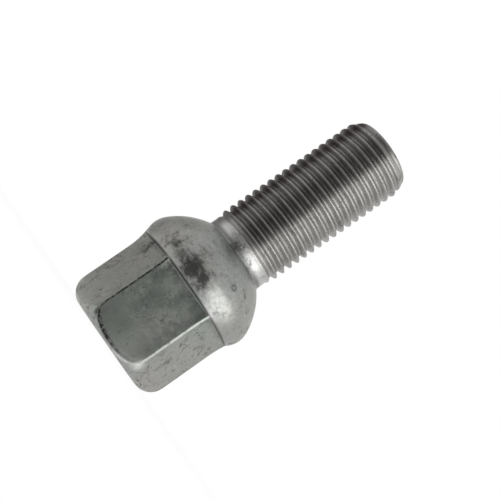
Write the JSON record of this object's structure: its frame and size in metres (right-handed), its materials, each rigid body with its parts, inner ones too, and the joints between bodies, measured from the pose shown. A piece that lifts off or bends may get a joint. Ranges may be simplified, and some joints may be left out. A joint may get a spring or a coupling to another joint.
{
  "type": "wheel bolt",
  "caption": "Steel wheel bolt with a hexagon head, a ball-shaped seat that runs into a rounded collar, a short plain neck and a fine-threaded shank with a tapered point.",
  "frame": {"origin": "centre of the head's flat end, which the bolt stands on", "axes": "+Z along the shank towards its point; a corner of the hexagon lies on +X, so two of its flats face -Y and +Y"},
  "size_m": [0.0236, 0.0236, 0.055],
  "materials": {
    "grey_steel": "dull grey zinc coat, matt and lightly mottled, worn bright on the thread"
  },
  "bodies": {
    "root": {"wheel_bolt": "grey_steel"}
  },
  "joints": []
}
